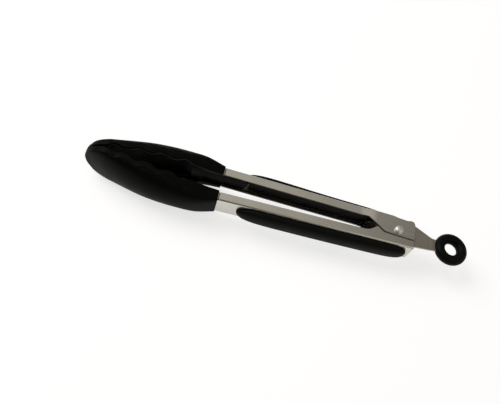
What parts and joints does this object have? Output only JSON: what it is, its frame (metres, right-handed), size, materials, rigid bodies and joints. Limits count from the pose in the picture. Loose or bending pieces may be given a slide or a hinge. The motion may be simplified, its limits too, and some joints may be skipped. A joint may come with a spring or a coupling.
{
  "type": "spring loaded kitchen tongs",
  "caption": "Spring loaded kitchen tongs: bent sheet steel arms on a rivet hinge, scalloped silicone spoon heads, soft grips and a pull ring that locks them shut.",
  "frame": {"origin": "under the middle of the closed tongs, at the level of the lowest edge of the heads", "axes": "+X from the heads to the pull ring, +Z along the pivot rivet, the arms close on the plane half way along Y"},
  "size_m": [0.2424, 0.035, 0.0304],
  "materials": {
    "arm_steel": "stainless sheet, brushed along its length",
    "plate_steel": "stamped stainless sheet, mill finish",
    "rivet_steel": "bright turned steel",
    "spring_wire": "drawn spring wire",
    "head_silicone": "moulded silicone, satin",
    "core_nylon": "moulded nylon, matt",
    "grip_rubber": "moulded soft rubber, satin",
    "ring_silicone": "moulded silicone, satin"
  },
  "bodies": {
    "pivot": {"pivot_rivet": "rivet_steel", "pivot_bush": "rivet_steel", "torsion_spring": "spring_wire"},
    "near_arm": {"near_arm": "arm_steel", "near_head_core": "core_nylon", "near_head_cover": "head_silicone", "near_grip": "grip_rubber"},
    "far_arm": {"far_arm": "arm_steel", "far_head_core": "core_nylon", "far_head_cover": "head_silicone", "far_grip": "grip_rubber"},
    "lock": {"lock_plate": "plate_steel", "pull_ring": "ring_silicone"}
  },
  "joints": [
    {"name": "near_arm_open", "type": "hinge", "parent": "pivot", "child": "near_arm", "pos_m": [0.07375, 0, 0.0152], "axis": [0, 0, 1], "range_deg": [0, 13], "stiffness_Nm_per_rad": 0.25, "springref_deg": 68.75, "deforming": ["torsion_spring"]},
    {"name": "far_arm_open", "type": "hinge", "parent": "pivot", "child": "far_arm", "pos_m": [0.07375, 0, 0.0152], "axis": [0, 0, -1], "range_deg": [0, 13], "stiffness_Nm_per_rad": 0.25, "springref_deg": 68.75},
    {"name": "lock_slide", "type": "slide", "parent": "pivot", "child": "lock", "axis": [1, 0, 0], "range_m": [-0.008, 0]}
  ],
  "couplings": [
    {"joint": "far_arm_open", "follows": "near_arm_open", "ratio": 1},
    {"joint": "lock_slide", "follows": "near_arm_open", "m_per_rad": -0.0352}
  ]
}
